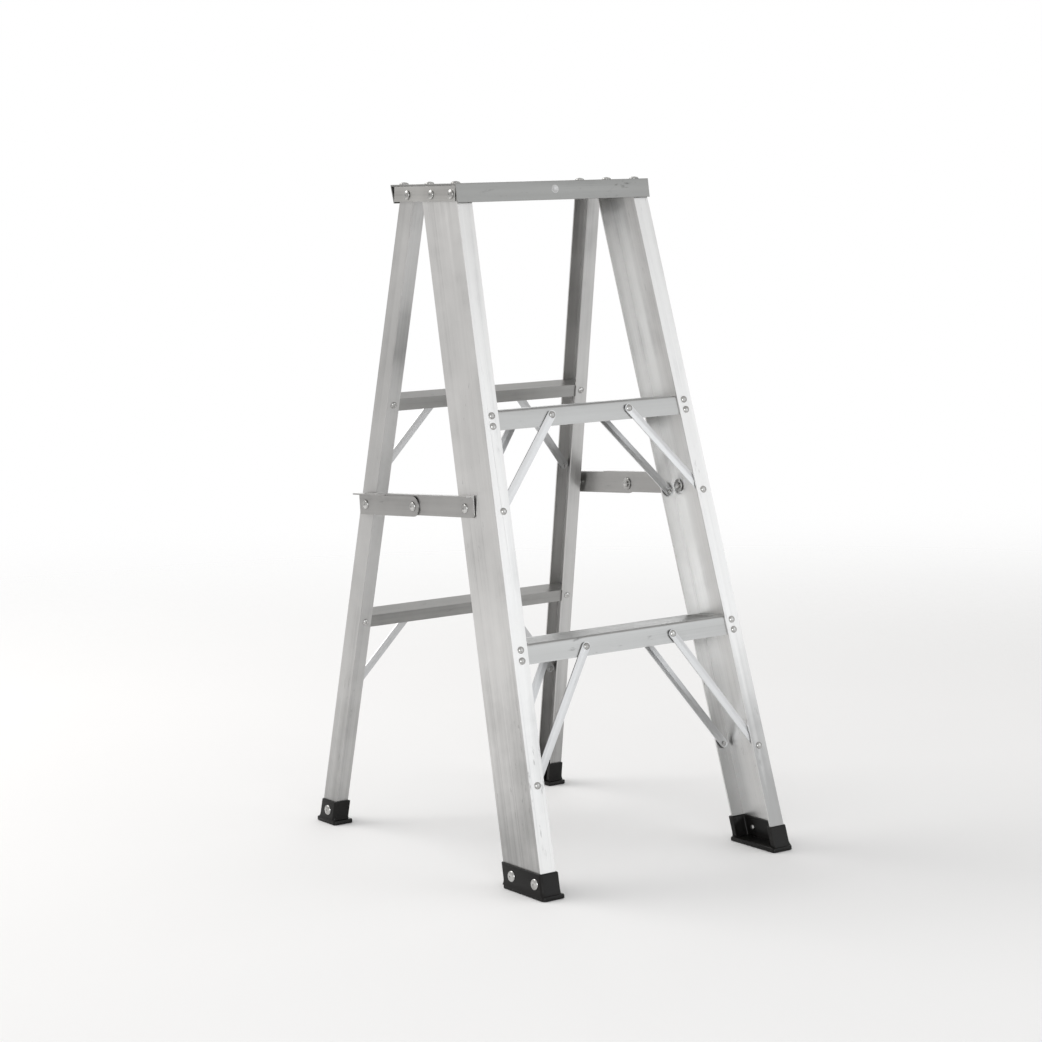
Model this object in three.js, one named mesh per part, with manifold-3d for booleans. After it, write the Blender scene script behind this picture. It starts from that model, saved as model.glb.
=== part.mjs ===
// A double-sided folding step ladder of riveted aluminium: two wide climbing rails with two
// treads, two narrow rear rails with two cross bars, a channel cap, and a folding spreader on
// each side. Millimetres, +Z up, the climbing side faces -Y. The origin is on the ground, at the
// centre of the open ladder.

import * as THREE from 'three';
import * as BufferGeometryUtils from 'three/addons/utils/BufferGeometryUtils.js';
import Module from 'manifold-3d';

// ---------------------------------------------------------------- driving dimensions

const HEIGHT = 900;
const GAP = 0.3;

// Each pair of rails is a channel section, web outwards. Widths are half the distance over both
// webs, and y is the front flange's face; both are given at the ground and at HEIGHT.
const FRONT = {
  footHalf: 202.1, topHalf: 153.6, footY: -280.4, topY: -49.5, web: 83.3, flange: 23.1, wall: 2.3,
};
const REAR = {
  footHalf: 198, topHalf: 153, footY: 245, topY: 46, web: 34.3, flange: 19.4, wall: 1.9,
};

const CAP = {
  halfLength: 156.6, frontY: -56.3, rearY: 104.5, depth: 25, top: 2.4, wall: 2.2,
  frontSlant: 3.4, rearSlant: 7,
};
const BRACKET = {
  bottomZ: 877, topZ: CAP.top + GAP, wall: 2.1, frontY: -53.2, rearY: 95, innerX: 133,
  rivetX: 145.5, rivetRows: [-39, 24, 87],
};
const CAP_RIVETS_Y = [-43.8, 3.8];
const CAP_RIVETS_Z = 886;
const HINGE = { y: 62, z: 886, railAbove: 5.5, corner: 4 };

const TREAD = {
  topZ: [607.2, 312.7], names: ['upper', 'lower'], skirt: 25, wall: 2, backDrop: 7.8, nose: 2.5,
  rivetDrop: [5.2, 18.7], rivetInset: 12.6, ribs: 7, ribHeight: 0.9, ribWidth: 3.4,
};
const BAR = { midZ: [602.2, 296.5], names: ['upper', 'lower'], face: 17, wall: 1.8, rivetInset: 10.3 };

const STRIP = { width: 12, thickness: 1.8, crease: 0.8, clearance: 0.8 };
// Upper rivet: distance from the ladder's middle and height. Lower rivet: distance in from the
// rail's outer face, and height.
const FRONT_BRACES = [
  { upperX: 63, upperZ: 597, inset: 12.6, lowerZ: 480.5 },
  { upperX: 71, upperZ: 300.5, inset: 12.6, lowerZ: 139 },
];
const BACK_BRACES = [
  { upperX: 63, upperZ: 591, inset: 12.6, lowerZ: 471 },
  { upperX: 71, upperZ: 294.5, inset: 12.6, lowerZ: 129.5 },
];
const REAR_BRACES = [
  { upperX: 68, upperZ: 604, inset: 9.2, lowerZ: 490.5 },
  { upperX: 76, upperZ: 298.3, inset: 9.2, lowerZ: 178.8 },
];

// Spreader pivots in the side view, and the plates, stacked outwards from the front rail's web.
const PIVOT_FRONT = { y: -90.8, z: 480.5 };
const PIVOT_REAR = { y: 154.1, z: 465 };
const FRONT_LINK_SHARE = 0.506;
const LINK = {
  plate: 1.8, frontPlateX: 177.5, rearPlateX: 179.7, flangeOut: 12, frontBelow: 12, frontAbove: 17,
  rearHalf: 14, rearLipRise: 1.8, rearLipLength: 81.5, aheadOfFrontPivot: 20, pastMiddle: 55,
  behindRearPivot: 16, corner: 4,
};

const SHOE = {
  height: 33, sole: 6, skin: 2.7, groove: 3, grooveDepth: 1.2,
  front: { outer: 205.2, inner: 171.9, frontY: -285.1, rearY: -192.3, rivets: [12.1, 63.5] },
  rear: { outer: 202.3, inner: 171.6, frontY: 234.7, rearY: 285.1, rivets: [15.4] },
  rivetZ: 18.6,
};

// Rivets: the head stands on one side of the clamped sheets, the upset tail on the other.
const SMALL_RIVET = { head: 4.4, headHeight: 1.9, shank: 2, tail: 3.1, tailHeight: 1.4, sides: 6 };
const CAP_RIVET = { head: 6.2, headHeight: 2.4, shank: 2.5, tail: 3.8, tailHeight: 2, sides: 8 };
const SHOE_RIVET = { head: 7.2, headHeight: 2.2, shank: 2.4, tail: 3.6, tailHeight: 1.8, sides: 8 };
const PIVOT_RIVET = { head: 6.4, headHeight: 2.4, shank: 3, tail: 4.5, tailHeight: 2.6, sides: 8 };
const WASHER = { radius: 8.5, thickness: 1.5, sides: 16 };

const ALUMINIUM = { color: 0xc9c9c6, roughness: 0.38, metalness: 0.9 };
const BRIGHT_ALUMINIUM = { color: 0xdfe2e4, roughness: 0.3, metalness: 0.92 };
const RIVET_METAL = { color: 0xe4e4e2, roughness: 0.22, metalness: 0.95 };
const BLACK_PLASTIC = { color: 0x1c1a19, roughness: 0.5, metalness: 0 };

// ---------------------------------------------------------------- solids

const wasm = await Module();
wasm.setup();

function toSolid(geometry) {
  const bare = geometry.clone();
  bare.deleteAttribute('normal');
  bare.deleteAttribute('uv');
  const welded = BufferGeometryUtils.mergeVertices(bare, 1e-4);
  const corners = welded.index.array;
  const kept = [];
  for (let i = 0; i < corners.length; i += 3) {
    const [a, b, c] = [corners[i], corners[i + 1], corners[i + 2]];
    if (a !== b && b !== c && c !== a) kept.push(a, b, c);
  }
  const vertProperties = new Float32Array(welded.attributes.position.array);
  const triVerts = new Uint32Array(kept);
  return new wasm.Manifold(new wasm.Mesh({ numProp: 3, vertProperties, triVerts }));
}

function toGeometry(solid) {
  const mesh = solid.getMesh();
  const geometry = new THREE.BufferGeometry();
  geometry.setAttribute('position', new THREE.BufferAttribute(new Float32Array(mesh.vertProperties), 3));
  geometry.setIndex(new THREE.BufferAttribute(new Uint32Array(mesh.triVerts), 1));
  geometry.computeVertexNormals();
  return geometry;
}

function join(first, ...others) {
  let solid = toSolid(first);
  for (const other of others) solid = solid.add(toSolid(other));
  return toGeometry(solid);
}

function cut(first, ...cutters) {
  let solid = toSolid(first);
  for (const cutter of cutters) solid = solid.subtract(toSolid(cutter));
  return toGeometry(solid);
}

function overlap(first, second) {
  return toGeometry(toSolid(first).intersect(toSolid(second)));
}

function outline(points) {
  return new THREE.Shape(points.map(([x, y]) => new THREE.Vector2(x, y)));
}

// A flat outline in the XY plane, raised along Z from low to high.
function raise(shape, low, high, curveSegments = 8) {
  const options = { depth: high - low, bevelEnabled: false, curveSegments };
  return new THREE.ExtrudeGeometry(shape, options).translate(0, 0, low);
}

// A flat outline drawn in side view (y, z), run along X from low to high.
function runAlongX(shape, low, high, curveSegments = 8) {
  const turn = new THREE.Matrix4().makeBasis(
    new THREE.Vector3(0, 1, 0), new THREE.Vector3(0, 0, 1), new THREE.Vector3(1, 0, 0),
  );
  return raise(shape, low, high, curveSegments).applyMatrix4(turn);
}

// A flat outline drawn in front view (x, z), run along Y from low to high.
function runAlongY(shape, low, high) {
  const turn = new THREE.Matrix4().makeBasis(
    new THREE.Vector3(1, 0, 0), new THREE.Vector3(0, 0, 1), new THREE.Vector3(0, -1, 0),
  );
  return raise(shape, -high, -low).applyMatrix4(turn);
}

// A round bar along Z from low to high.
function bar(radius, low, high, sides) {
  const geometry = new THREE.CylinderGeometry(radius, radius, high - low, sides);
  return geometry.rotateX(Math.PI / 2).translate(0, 0, (low + high) / 2);
}

// A rivet on the Z axis. The head stands on z = 0; the sheets it holds lie below, to -grip.
function rivetSolid(size, grip) {
  const profile = [
    [0, -grip - size.tailHeight],
    [size.tail, -grip - size.tailHeight],
    [size.tail, -grip],
    [size.shank, -grip],
    [size.shank, 0],
    [size.head, 0],
    [size.head * 0.75, size.headHeight * 0.75],
    [0, size.headHeight],
  ];
  const points = profile.map(([radius, z]) => new THREE.Vector2(radius, z));
  return new THREE.LatheGeometry(points, size.sides).rotateX(Math.PI / 2);
}

// A cutter for the hole that a rivet passes through.
function rivetHole(size, low, high) {
  return bar(size.shank + GAP, low, high, size.sides);
}

function washerSolid(size, radius, thickness) {
  return cut(bar(radius, 0, thickness, WASHER.sides), rivetHole(size, -1, thickness + 1));
}

// ---------------------------------------------------------------- places

const ladder = new THREE.Group();

function addPiece(name, geometry, look, parent = ladder) {
  const mesh = new THREE.Mesh(geometry, new THREE.MeshStandardMaterial(look));
  mesh.name = name;
  parent.add(mesh);
  return mesh;
}

function halfWidth(rails, z) {
  return rails.footHalf + (rails.topHalf - rails.footHalf) * (z / HEIGHT);
}

function frontFace(rails, z) {
  return rails.footY + (rails.topY - rails.footY) * (z / HEIGHT);
}

function leanSlope(rails) {
  return (rails.topY - rails.footY) / HEIGHT;
}

function splaySlope(rails) {
  return (rails.topHalf - rails.footHalf) / HEIGHT;
}

// A frame on a leaning flange: X across the ladder, Y up the slope, Z out of the flange. facing
// is 1 for a flange that looks towards the front, -1 for one that looks towards the rear.
function flangePlace(rails, x, y, z, facing) {
  const up = new THREE.Vector3(0, leanSlope(rails), 1).normalize();
  const across = new THREE.Vector3(facing, 0, 0);
  const out = new THREE.Vector3().crossVectors(across, up);
  return new THREE.Matrix4().makeBasis(across, up, out).setPosition(x, y, z);
}

// A frame standing off a side face, with Z outwards, level or square to the splayed web.
function sidePlace(side, x, y, z, tilt = 0, stand = 0) {
  const out = new THREE.Vector3(side * Math.cos(tilt), 0, Math.sin(tilt));
  const across = new THREE.Vector3(0, side, 0);
  const up = new THREE.Vector3().crossVectors(out, across);
  const origin = new THREE.Vector3(side * x, y, z).addScaledVector(out, stand);
  return new THREE.Matrix4().makeBasis(across, up, out).setPosition(origin);
}

function placed(geometry, place) {
  return geometry.clone().applyMatrix4(place);
}

function putAt(mesh, place) {
  place.decompose(mesh.position, mesh.quaternion, mesh.scale);
}

const SIDES = [{ name: 'left', sign: -1 }, { name: 'right', sign: 1 }];
const FRONT_SPLAY = Math.atan(-splaySlope(FRONT));
const REAR_SPLAY = Math.atan(-splaySlope(REAR));

// ---------------------------------------------------------------- braces

// The corner braces lie along a flange. The upper end is on the outside of the tread's skirt and
// the lower end is behind the rail's flange, so the strip leans slightly through the flange plane.
function braceLayout(rails, spec, sign, facing, wall) {
  const lean = Math.hypot(1, leanSlope(rails));
  const faceShift = facing > 0 ? 0 : rails.web;
  const outward = -facing;
  const strip = STRIP.thickness + STRIP.crease;
  const upperDepth = wall + GAP - STRIP.clearance - strip;
  const lowerDepth = wall + STRIP.clearance;
  const flangeX = sign * (halfWidth(rails, spec.lowerZ) - spec.inset);
  const upper = new THREE.Vector3(sign * spec.upperX, 0, spec.upperZ);
  const lower = new THREE.Vector3(flangeX, 0, spec.lowerZ);
  upper.y = frontFace(rails, upper.z) + faceShift - outward * upperDepth * lean;
  lower.y = frontFace(rails, lower.z) + faceShift - outward * lowerDepth * lean;
  const along = new THREE.Vector3().subVectors(lower, upper);
  const length = along.length();
  along.normalize();
  const slopeUp = new THREE.Vector3(0, leanSlope(rails), 1).normalize();
  const roughOut = new THREE.Vector3().crossVectors(new THREE.Vector3(facing, 0, 0), slopeUp);
  const width = new THREE.Vector3().crossVectors(roughOut, along).normalize();
  const out = new THREE.Vector3().crossVectors(along, width);
  const place = new THREE.Matrix4().makeBasis(along, width, out).setPosition(upper);
  return { place, length };
}

// Local frame: X along the strip from the upper rivet, Z out through the strip's front face at 0.
function braceSolid(length, wall) {
  const half = STRIP.width / 2;
  const edge = -STRIP.crease;
  const section = outline([
    [-half, edge], [-half, edge - STRIP.thickness], [0, -STRIP.thickness],
    [half, edge - STRIP.thickness], [half, edge], [0, 0],
  ]);
  const turn = new THREE.Matrix4().makeBasis(
    new THREE.Vector3(0, 1, 0), new THREE.Vector3(0, 0, 1), new THREE.Vector3(1, 0, 0),
  );
  const strip = raise(section, -half, length + half).applyMatrix4(turn);
  const capsule = new THREE.Shape();
  capsule.absarc(0, 0, half, Math.PI / 2, Math.PI * 1.5);
  capsule.absarc(length, 0, half, -Math.PI / 2, Math.PI / 2);
  const rounded = overlap(strip, raise(capsule, -STRIP.width, STRIP.width, 3));
  const stripDepth = STRIP.thickness + STRIP.crease;
  const upperGrip = stripDepth + STRIP.clearance + TREAD.wall + GAP;
  const lowerGrip = wall + STRIP.clearance + GAP + stripDepth - STRIP.crease / 2;
  const upperRivet = rivetSolid(SMALL_RIVET, upperGrip).translate(0, 0, -STRIP.crease / 2);
  const lowerRivet = rivetSolid(SMALL_RIVET, lowerGrip);
  lowerRivet.translate(length, 0, wall + STRIP.clearance + GAP);
  return join(rounded, upperRivet, lowerRivet);
}

function braceHoles(layout) {
  const reach = 12;
  const upper = rivetHole(SMALL_RIVET, -reach, reach);
  const lower = rivetHole(SMALL_RIVET, -reach, reach).translate(layout.length, 0, 0);
  return [placed(upper, layout.place), placed(lower, layout.place)];
}

function layOutBraces(rails, specs, words, facing) {
  const braces = [];
  specs.forEach((spec, row) => {
    for (const side of SIDES) {
      const layout = braceLayout(rails, spec, side.sign, facing, rails.wall);
      const name = `${TREAD.names[row]}_${side.name}_${words}_brace`;
      braces.push({ ...layout, name, row, sign: side.sign, wall: rails.wall });
    }
  });
  return braces;
}

const climbingBraces = [
  ...layOutBraces(FRONT, FRONT_BRACES, 'front', 1),
  ...layOutBraces(FRONT, BACK_BRACES, 'back', -1),
];
const rearBraces = layOutBraces(REAR, REAR_BRACES, 'rear', -1);

function addBraces(braces) {
  for (const brace of braces) {
    const mesh = addPiece(brace.name, braceSolid(brace.length, brace.wall), BRIGHT_ALUMINIUM);
    putAt(mesh, brace.place);
  }
}

// ---------------------------------------------------------------- treads and cross bars

// Side-view outline of a tread: a top plate with round noses and two skirts along the lean.
function treadOutline(frontY, topZ, depth, slope) {
  const { skirt, wall, nose } = TREAD;
  const drop = TREAD.backDrop / depth;
  const at = (across, down) => [
    frontY + across - slope * (down + across * drop),
    topZ - down - across * drop,
  ];
  const turns = [0, 30, 60, 90].map((angle) => THREE.MathUtils.degToRad(angle));
  const inset = (turn) => nose * (1 - Math.cos(turn));
  return outline([
    ...turns.map((turn) => at(inset(Math.PI / 2 - turn), inset(turn))),
    at(0, skirt), at(wall, skirt), at(wall, wall),
    at(depth - wall, wall), at(depth - wall, skirt), at(depth, skirt),
    ...turns.map((turn) => at(depth - inset(turn), inset(Math.PI / 2 - turn))),
  ]);
}

function memberRivets(rails, heights, inset, facing, skirtWall) {
  const rivets = [];
  const lean = Math.hypot(1, leanSlope(rails));
  const headPlane = facing > 0 ? -GAP * lean : rails.web + GAP * lean;
  for (const z of heights) {
    for (const side of SIDES) {
      const x = side.sign * (halfWidth(rails, z) - inset);
      const y = frontFace(rails, z) + headPlane;
      const place = flangePlace(rails, x, y, z, facing);
      const grip = rails.wall + GAP * 2 + skirtWall;
      rivets.push({ place, grip, x, z });
    }
  }
  return rivets;
}

// The ends follow the splay of the rails, just inside the webs.
function trimToRails(rails, geometry, lowZ, highZ) {
  const reach = (z) => halfWidth(rails, z) - rails.wall - GAP * 2;
  const between = outline([
    [-reach(lowZ), lowZ], [reach(lowZ), lowZ], [reach(highZ), highZ], [-reach(highZ), highZ],
  ]);
  return overlap(geometry, runAlongY(between, rails.footY - HEIGHT, rails.footY + HEIGHT));
}

function treadSolid(topZ, row) {
  const frontY = frontFace(FRONT, topZ) + FRONT.wall + GAP;
  const depth = FRONT.web - (FRONT.wall + GAP) * 2;
  const slope = leanSlope(FRONT);
  const profile = treadOutline(frontY, topZ, depth, slope);
  const blank = runAlongX(profile, -HEIGHT / 2, HEIGHT / 2);
  const trimmed = trimToRails(FRONT, blank, topZ - TREAD.skirt * 2, topZ + TREAD.ribHeight * 4);
  const pitch = depth / TREAD.ribs;
  const ribs = [];
  for (let i = 0; i < TREAD.ribs; i += 1) {
    const y = frontY + pitch * (i + 0.5);
    const z = topZ - (y - frontY) * (TREAD.backDrop / depth);
    const length = (halfWidth(FRONT, topZ) - FRONT.flange - 6) * 2;
    const rib = new THREE.BoxGeometry(length, TREAD.ribWidth, TREAD.ribHeight * 2);
    ribs.push(rib.translate(0, y, z));
  }
  const heights = TREAD.rivetDrop.map((drop) => topZ - drop);
  const rivets = [
    ...memberRivets(FRONT, heights, TREAD.rivetInset, 1, TREAD.wall),
    ...memberRivets(FRONT, heights.map((z) => z - TREAD.backDrop), TREAD.rivetInset, -1, TREAD.wall),
  ];
  const shafts = rivets.map((rivet) => placed(rivetSolid(SMALL_RIVET, rivet.grip), rivet.place));
  const holes = climbingBraces.filter((brace) => brace.row === row).map((brace) => braceHoles(brace)[0]);
  const body = cut(join(trimmed, ...ribs), ...holes);
  return { geometry: join(body, ...shafts), rivets };
}

function crossBarSolid(midZ, row) {
  const slope = leanSlope(REAR);
  const squareness = Math.hypot(1, slope);
  const depth = (REAR.web - (REAR.wall + GAP) * 2) / squareness;
  const face = BAR.face;
  // Drawn square to the rails, with its front skirt along the rail flange, then leaned back.
  const section = outline([
    [0, -face / 2], [BAR.wall, -face / 2], [BAR.wall, face / 2 - BAR.wall],
    [depth - BAR.wall, face / 2 - BAR.wall], [depth - BAR.wall, -face / 2], [depth, -face / 2],
    [depth, face / 2], [0, face / 2],
  ]);
  const frontY = frontFace(REAR, midZ) + REAR.wall * squareness + GAP;
  const blank = runAlongX(section, -HEIGHT / 2, HEIGHT / 2);
  blank.rotateX(Math.atan(-slope)).translate(0, frontY, midZ);
  const trimmed = trimToRails(REAR, blank, midZ - HEIGHT / 10, midZ + HEIGHT / 10);
  const backZ = midZ - (depth * slope) / squareness;
  const rivets = [
    ...memberRivets(REAR, [midZ], BAR.rivetInset, 1, BAR.wall),
    ...memberRivets(REAR, [backZ], BAR.rivetInset, -1, BAR.wall),
  ];
  const shafts = rivets.map((rivet) => placed(rivetSolid(SMALL_RIVET, rivet.grip), rivet.place));
  const holes = rearBraces.filter((brace) => brace.row === row).map((brace) => braceHoles(brace)[0]);
  return { geometry: join(cut(trimmed, ...holes), ...shafts), rivets };
}

const treads = TREAD.topZ.map((topZ, row) => treadSolid(topZ, row));
const crossBars = BAR.midZ.map((midZ, row) => crossBarSolid(midZ, row));

treads.forEach((tread, row) => addPiece(`front_${TREAD.names[row]}_tread`, tread.geometry, ALUMINIUM));
crossBars.forEach((crossBar, row) => {
  addPiece(`rear_${BAR.names[row]}_tread`, crossBar.geometry, ALUMINIUM);
});
addBraces(climbingBraces);
addBraces(rearBraces);

// ---------------------------------------------------------------- rails

// The channel's level section at the ground, web outwards, leaned and splayed as it rises.
function channelShape(rails, sign, spread) {
  const outer = rails.footHalf + spread;
  const tip = rails.footHalf - rails.flange - spread;
  const inner = rails.footHalf - rails.wall - spread;
  const low = -spread;
  const high = rails.web + spread;
  const wall = rails.wall + spread;
  return outline([
    [sign * tip, low], [sign * outer, low], [sign * outer, high], [sign * tip, high],
    [sign * tip, rails.web - wall], [sign * inner, rails.web - wall],
    [sign * inner, wall], [sign * tip, wall],
  ]);
}

function leaned(rails, sign, geometry) {
  const shear = new THREE.Matrix4().set(
    1, 0, sign * splaySlope(rails), 0,
    0, 1, leanSlope(rails), rails.footY,
    0, 0, 1, 0,
    0, 0, 0, 1,
  );
  return geometry.applyMatrix4(shear);
}

function sideHole(sign, rails, { y, z, size, tilt }) {
  const reach = 10;
  const place = sidePlace(sign, halfWidth(rails, z), y, z, tilt);
  return placed(rivetHole(size, -reach, reach), place);
}

function shoeHoles(sign, rails, shoe) {
  const tilt = Math.atan(-splaySlope(rails));
  return shoe.rivets.map((inset) => {
    const y = shoeRivetY(rails, inset);
    return sideHole(sign, rails, { y, z: SHOE.rivetZ, size: SHOE_RIVET, tilt });
  });
}

function shoeRivetY(rails, inset) {
  return frontFace(rails, SHOE.rivetZ) + inset;
}

function railSolid(rails, sign, topZ, members, braces, sideHoles, shoe) {
  const prism = leaned(rails, sign, raise(channelShape(rails, sign, 0), SHOE.sole + GAP, topZ));
  const holes = [];
  for (const member of members) {
    for (const rivet of member.rivets) {
      if (Math.sign(rivet.x) !== sign) continue;
      holes.push(placed(rivetHole(SMALL_RIVET, -rivet.grip - 1, 1), rivet.place));
    }
  }
  for (const brace of braces) {
    if (brace.sign === sign) holes.push(braceHoles(brace)[1]);
  }
  for (const hole of sideHoles) holes.push(sideHole(sign, rails, hole));
  return cut(prism, ...holes, ...shoeHoles(sign, rails, shoe));
}

// The rear rail's top is cut square to the rail, with its corners off, so that it turns under the
// cap.
function topTrim() {
  const lean = Math.atan(leanSlope(REAR));
  const depth = REAR.web;
  const far = 60;
  const keep = outline([
    [-depth, HINGE.railAbove - HINGE.corner - depth + REAR.web * 0.4],
    [-depth * 0.42 + HINGE.corner, HINGE.railAbove],
    [depth * 0.56 - HINGE.corner, HINGE.railAbove],
    [depth, HINGE.railAbove - HINGE.corner - depth + REAR.web * 0.6],
    [far, far], [-far, far],
  ]);
  const block = runAlongX(keep, -HEIGHT / 4, HEIGHT / 4);
  return block.rotateX(-lean).translate(0, HINGE.y, HINGE.z);
}

const FRONT_RAIL_TOP = HEIGHT - BRACKET.topZ - BRACKET.wall - GAP;
const hingeHole = { y: HINGE.y, z: HINGE.z, size: CAP_RIVET, tilt: 0 };
const capHoles = CAP_RIVETS_Y.map((y) => (
  { y, z: CAP_RIVETS_Z, size: CAP_RIVET, tilt: FRONT_SPLAY }
));

for (const side of SIDES) {
  const frontHoles = [{ ...PIVOT_FRONT, size: PIVOT_RIVET, tilt: 0 }, ...capHoles];
  const front = railSolid(
    FRONT, side.sign, FRONT_RAIL_TOP, treads, climbingBraces, frontHoles, SHOE.front,
  );
  addPiece(`front_${side.name}_rail`, front, ALUMINIUM);
  const rearHoles = [
    { ...PIVOT_REAR, size: PIVOT_RIVET, tilt: 0 },
    hingeHole,
  ];
  const rear = railSolid(REAR, side.sign, HEIGHT, crossBars, rearBraces, rearHoles, SHOE.rear);
  addPiece(`rear_${side.name}_rail`, cut(rear, topTrim()), ALUMINIUM);
}

// ---------------------------------------------------------------- cap and end brackets

function capSolid() {
  const bottom = HEIGHT - CAP.depth;
  const under = HEIGHT - CAP.top;
  const frontFoot = CAP.frontY - CAP.frontSlant;
  const rearFoot = CAP.rearY - CAP.rearSlant;
  const section = outline([
    [CAP.frontY, HEIGHT], [frontFoot, bottom], [frontFoot + CAP.wall, bottom],
    [CAP.frontY + CAP.wall, under], [CAP.rearY - CAP.wall, under], [rearFoot - CAP.wall, bottom],
    [rearFoot, bottom], [CAP.rearY, HEIGHT],
  ]);
  const holes = [];
  for (const side of SIDES) {
    for (const y of BRACKET.rivetRows) {
      const hole = rivetHole(CAP_RIVET, under - 1, HEIGHT + 1);
      holes.push(hole.translate(side.sign * BRACKET.rivetX, y, 0));
    }
  }
  return cut(runAlongX(section, -CAP.halfLength, CAP.halfLength), ...holes);
}

// An angle under each end of the cap: its leg hangs outside the rails, along their splay.
function bracketSolid(sign) {
  const top = HEIGHT - BRACKET.topZ;
  const inner = (z) => halfWidth(FRONT, z) + GAP + 0.05;
  const under = top - BRACKET.wall;
  const section = outline([
    [sign * BRACKET.innerX, top], [sign * (inner(top) + BRACKET.wall), top],
    [sign * (inner(BRACKET.bottomZ) + BRACKET.wall), BRACKET.bottomZ],
    [sign * inner(BRACKET.bottomZ), BRACKET.bottomZ], [sign * inner(under), under],
    [sign * BRACKET.innerX, under],
  ]);
  const angle = runAlongY(section, BRACKET.frontY, BRACKET.rearY);
  const holes = [...capHoles, hingeHole].map((hole) => sideHole(sign, FRONT, hole));
  const grip = CAP.top + GAP * 2 + BRACKET.wall;
  const rivets = BRACKET.rivetRows.map((y) => (
    rivetSolid(CAP_RIVET, grip).translate(sign * BRACKET.rivetX, y, HEIGHT + GAP)
  ));
  return join(cut(angle, ...holes), ...rivets);
}

addPiece('top_cap', capSolid(), ALUMINIUM);
for (const side of SIDES) {
  addPiece(`${side.name}_end_bracket`, bracketSolid(side.sign), ALUMINIUM);
}

// ---------------------------------------------------------------- rivets and washers

function addRivet(name, size, grip, place) {
  const mesh = addPiece(name, toGeometry(toSolid(rivetSolid(size, grip))), RIVET_METAL);
  putAt(mesh, place);
}

function addWasher(name, place) {
  const washer = washerSolid(PIVOT_RIVET, WASHER.radius, WASHER.thickness);
  putAt(addPiece(name, washer, RIVET_METAL), place);
}

const bracketOuter = (z) => halfWidth(FRONT, z) + GAP + BRACKET.wall;

for (const side of SIDES) {
  const grip = BRACKET.wall + FRONT.wall + GAP * 4;
  CAP_RIVETS_Y.forEach((y, index) => {
    const web = halfWidth(FRONT, CAP_RIVETS_Z);
    const stand = BRACKET.wall + GAP * 3;
    const place = sidePlace(side.sign, web, y, CAP_RIVETS_Z, FRONT_SPLAY, stand);
    addRivet(`${side.name}_cap_rivet_${index + 1}`, CAP_RIVET, grip, place);
  });
  // The hinge pin stands level, so the rear rail turns on it, with a washer inside the rail.
  const washerRoom = WASHER.thickness + GAP * 4;
  const hingeGrip = bracketOuter(HINGE.z) + GAP * 3 - halfWidth(REAR, HINGE.z) + REAR.wall
    + washerRoom;
  const hingeX = bracketOuter(HINGE.z) + GAP * 3;
  const hingePlace = sidePlace(side.sign, hingeX, HINGE.y, HINGE.z);
  addRivet(`${side.name}_hinge_rivet`, CAP_RIVET, hingeGrip, hingePlace);
  const hingeWasherX = halfWidth(REAR, HINGE.z) - REAR.wall - GAP * 2 - WASHER.thickness;
  const hingeWasherPlace = sidePlace(side.sign, hingeWasherX, HINGE.y, HINGE.z);
  const hingeWasher = washerSolid(CAP_RIVET, CAP_RIVET.head, WASHER.thickness);
  putAt(addPiece(`${side.name}_hinge_washer`, hingeWasher, RIVET_METAL), hingeWasherPlace);
}

// ---------------------------------------------------------------- spreaders

const pivotMiddle = {
  y: THREE.MathUtils.lerp(PIVOT_FRONT.y, PIVOT_REAR.y, FRONT_LINK_SHARE),
  z: THREE.MathUtils.lerp(PIVOT_FRONT.z, PIVOT_REAR.z, FRONT_LINK_SHARE),
};

function distance(a, b) {
  return Math.hypot(b.y - a.y, b.z - a.z);
}

// A frame in the side view: X along the spreader to the rear, Y up, Z to the ladder's right.
function spreaderPlace(pivot, x) {
  const run = distance(PIVOT_FRONT, PIVOT_REAR);
  const along = new THREE.Vector3(
    0, (PIVOT_REAR.y - PIVOT_FRONT.y) / run, (PIVOT_REAR.z - PIVOT_FRONT.z) / run,
  );
  const across = new THREE.Vector3(1, 0, 0);
  const up = new THREE.Vector3().crossVectors(across, along);
  return new THREE.Matrix4().makeBasis(along, up, across).setPosition(x, pivot.y, pivot.z);
}

// A plate from innerX outwards, on either side of the ladder.
function sideSlab(shape, sign, innerX, thickness) {
  const low = sign > 0 ? innerX : -innerX - thickness;
  return raise(shape, low, low + thickness, 6);
}

function frontLinkSolid(sign) {
  const length = distance(PIVOT_FRONT, pivotMiddle);
  const start = -LINK.aheadOfFrontPivot;
  const end = length + LINK.pastMiddle;
  const cornerX = start + LINK.corner;
  const cornerY = LINK.corner - LINK.frontBelow;
  const plate = new THREE.Shape();
  plate.absarc(cornerX, cornerY, LINK.corner, Math.PI, Math.PI * 1.5);
  plate.lineTo(end, -LINK.frontBelow);
  plate.lineTo(end, LINK.frontAbove);
  plate.lineTo(start, LINK.frontAbove);
  const lip = outline([
    [start, LINK.frontAbove - LINK.plate], [end, LINK.frontAbove - LINK.plate],
    [end, LINK.frontAbove], [start, LINK.frontAbove],
  ]);
  const body = join(
    sideSlab(plate, sign, LINK.frontPlateX, LINK.plate),
    sideSlab(lip, sign, LINK.frontPlateX, LINK.flangeOut),
  );
  const hole = rivetHole(PIVOT_RIVET, -HEIGHT, HEIGHT);
  return cut(body, hole, hole.clone().translate(length, 0, 0));
}

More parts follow.
